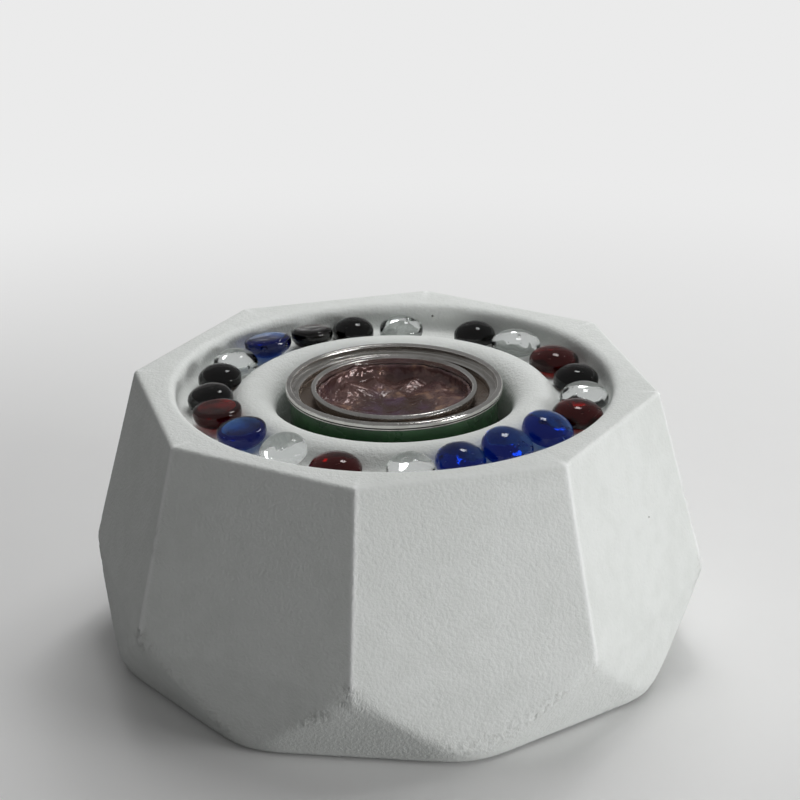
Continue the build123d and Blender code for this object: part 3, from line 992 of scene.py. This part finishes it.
def padRubber(look):
    material, tree, shader, place = newMaterial("pad rubber")
    speckle = noise(tree, place, *look["speckle"])
    dust = fade(tree, speckle, *look["speckleRange"])
    fillInputs(tree, shader, {
        "Base Color": mixColour(tree, dust, look["dark"], look["dusty"]),
        "Roughness": fade(tree, speckle, *look["roughness"]),
        "Normal": layBumps(tree, (speckle, look["speckleDepth"])),
    })
    return material


rubber = padRubber(pad)
padNodes = [node for name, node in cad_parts.items() if name.startswith("foot_pad")]
for node in padNodes:
    node.data.materials.clear()
    node.data.materials.append(rubber)
print("pads: %d" % len(padNodes))


# floor, light and camera
studio = {
    "floor": (0.84, 0.84, 0.835), "floorShade": 0.985, "floorPaint": (40.0, 3.0),
    "floorBounce": (0.34, 0.34, 0.34),
    "floorRoughness": 0.7,
    "floorHalf": 4.0, "floorFade": (0.22, 0.62),        # metres from the middle
    "background": 0.83,
    "overhead": 0.21, "overheadThroughGlass": 0.50,
    "backdropRise": (0.02, 0.17),       # sines of the heights between which the backdrop darkens
    "worldLight": 0.135,
    "aim": (0, 0, 60),
    "lamps": {      # place, size, energy, and whether glass and metal show it
        "key": ((766, -740, 205), (460, 310), 6.4, True),
        "fill": ((-150, -1110, 420), (700, 500), 1.1, False),
        "back": ((180, 1020, 620), (1300, 900), 2.1, False),
        "top": ((225, 290, 760), (600, 600), 3.5, False),
        "spark": ((225, 290, 740), (130, 130), 0.4, True),
    },
}
view = {
    "target": (2.31, 0.0, 105.1),
    "distance": 1129.6,
    "elevation": 22.46,
    "turn": -14.7,
    "roll": -0.58,
    "lens": 126.1,
    "sensor": 36.0,
    "clip": (0.05, 20),         # metres
}
white = (1, 1, 1, 1)


# 1 for the rays that show the background: straight to the camera, mirrored or through glass
def shownRays(tree):
    path = addNode(tree, "ShaderNodeLightPath").outputs
    return largest(tree, path["Is Camera Ray"], path["Is Glossy Ray"], path["Is Transmission Ray"])


def studioFloor(look):
    material, tree, shader, place = newMaterial("floor paint")
    seen = shownRays(tree)
    shade = tuple(look["floorShade"] * v for v in look["floor"])
    paint = mixColour(tree, noise(tree, place, *look["floorPaint"]), shade, look["floor"])
    fillInputs(tree, shader, {
        "Base Color": mixColour(tree, seen, look["floorBounce"], paint),
        "Roughness": look["floorRoughness"],
    })
    far = fade(tree, fromAxis(tree, place)[0], *look["floorFade"])
    glow = addNode(tree, "ShaderNodeEmission", {"Color": white, "Strength": look["background"]})
    blend = addNode(tree, "ShaderNodeMixShader",
                    {0: times(tree, far, seen), 1: shader.outputs[0], 2: glow.outputs[0]})
    tree.links.new(blend.outputs[0], tree.nodes["Material Output"].inputs["Surface"])
    return material


half = studio["floorHalf"]
floorMesh = bpy.data.meshes.new("floor")
floorMesh.from_pydata([(-half, -half, 0), (half, -half, 0), (half, half, 0), (-half, half, 0)],
                      [], [(0, 1, 2, 3)])
floor = newPiece("floor", floorMesh, studioFloor(studio))

world = bpy.data.worlds.new("studio")
bpy.context.scene.world = world
world.use_nodes = True
sky = world.node_tree
direction = addNode(sky, "ShaderNodeTexCoord").outputs["Generated"]
upward = apart(sky, direction)[2]
throughGlass = addNode(sky, "ShaderNodeLightPath").outputs["Is Transmission Ray"]
overhead = mixNumber(sky, throughGlass, studio["overhead"], studio["overheadThroughGlass"])
backdrop = fade(sky, upward, *studio["backdropRise"], studio["background"], overhead)
level = mixNumber(sky, shownRays(sky), studio["worldLight"], backdrop)
fillInputs(sky, sky.nodes["Background"], {"Color": white, "Strength": level})


def addLamp(name, place, size, energy, mirrored):
    lamp = bpy.data.lights.new(name, "AREA")
    lamp.shape = "RECTANGLE"
    lamp.size, lamp.size_y = size[0] * mm, size[1] * mm
    lamp.energy = energy
    holder = bpy.data.objects.new(name, lamp)
    bpy.context.scene.collection.objects.link(holder)
    holder.location = Vector(place) * mm
    holder.rotation_mode = "QUATERNION"
    holder.rotation_quaternion = (Vector(studio["aim"]) - Vector(place)).to_track_quat("-Z", "Y")
    holder.visible_camera = False
    holder.visible_glossy = holder.visible_transmission = mirrored


for name, setting in studio["lamps"].items():
    addLamp(name, *setting)

camera = bpy.data.cameras.new("camera")
camera.sensor_width = view["sensor"]
camera.lens = view["lens"]
camera.clip_start, camera.clip_end = view["clip"]
eye = bpy.data.objects.new("camera", camera)
bpy.context.scene.collection.objects.link(eye)
lift = math.radians(view["elevation"])
back = Vector((0, -math.cos(lift), math.sin(lift)))
turn = Matrix.Rotation(math.radians(view["turn"]), 3, "Z")
roll = Matrix.Rotation(math.radians(view["roll"]), 3, "Z").to_quaternion()
eye.location = turn @ (Vector(view["target"]) + back * view["distance"]) * mm
eye.rotation_mode = "QUATERNION"
eye.rotation_quaternion = (-(turn @ back)).to_track_quat("-Z", "Y") @ roll
bpy.context.scene.camera = eye
bpy.context.scene.view_settings.view_transform = "Standard"
print("studio: floor, %d lamps and camera" % len(studio["lamps"]))
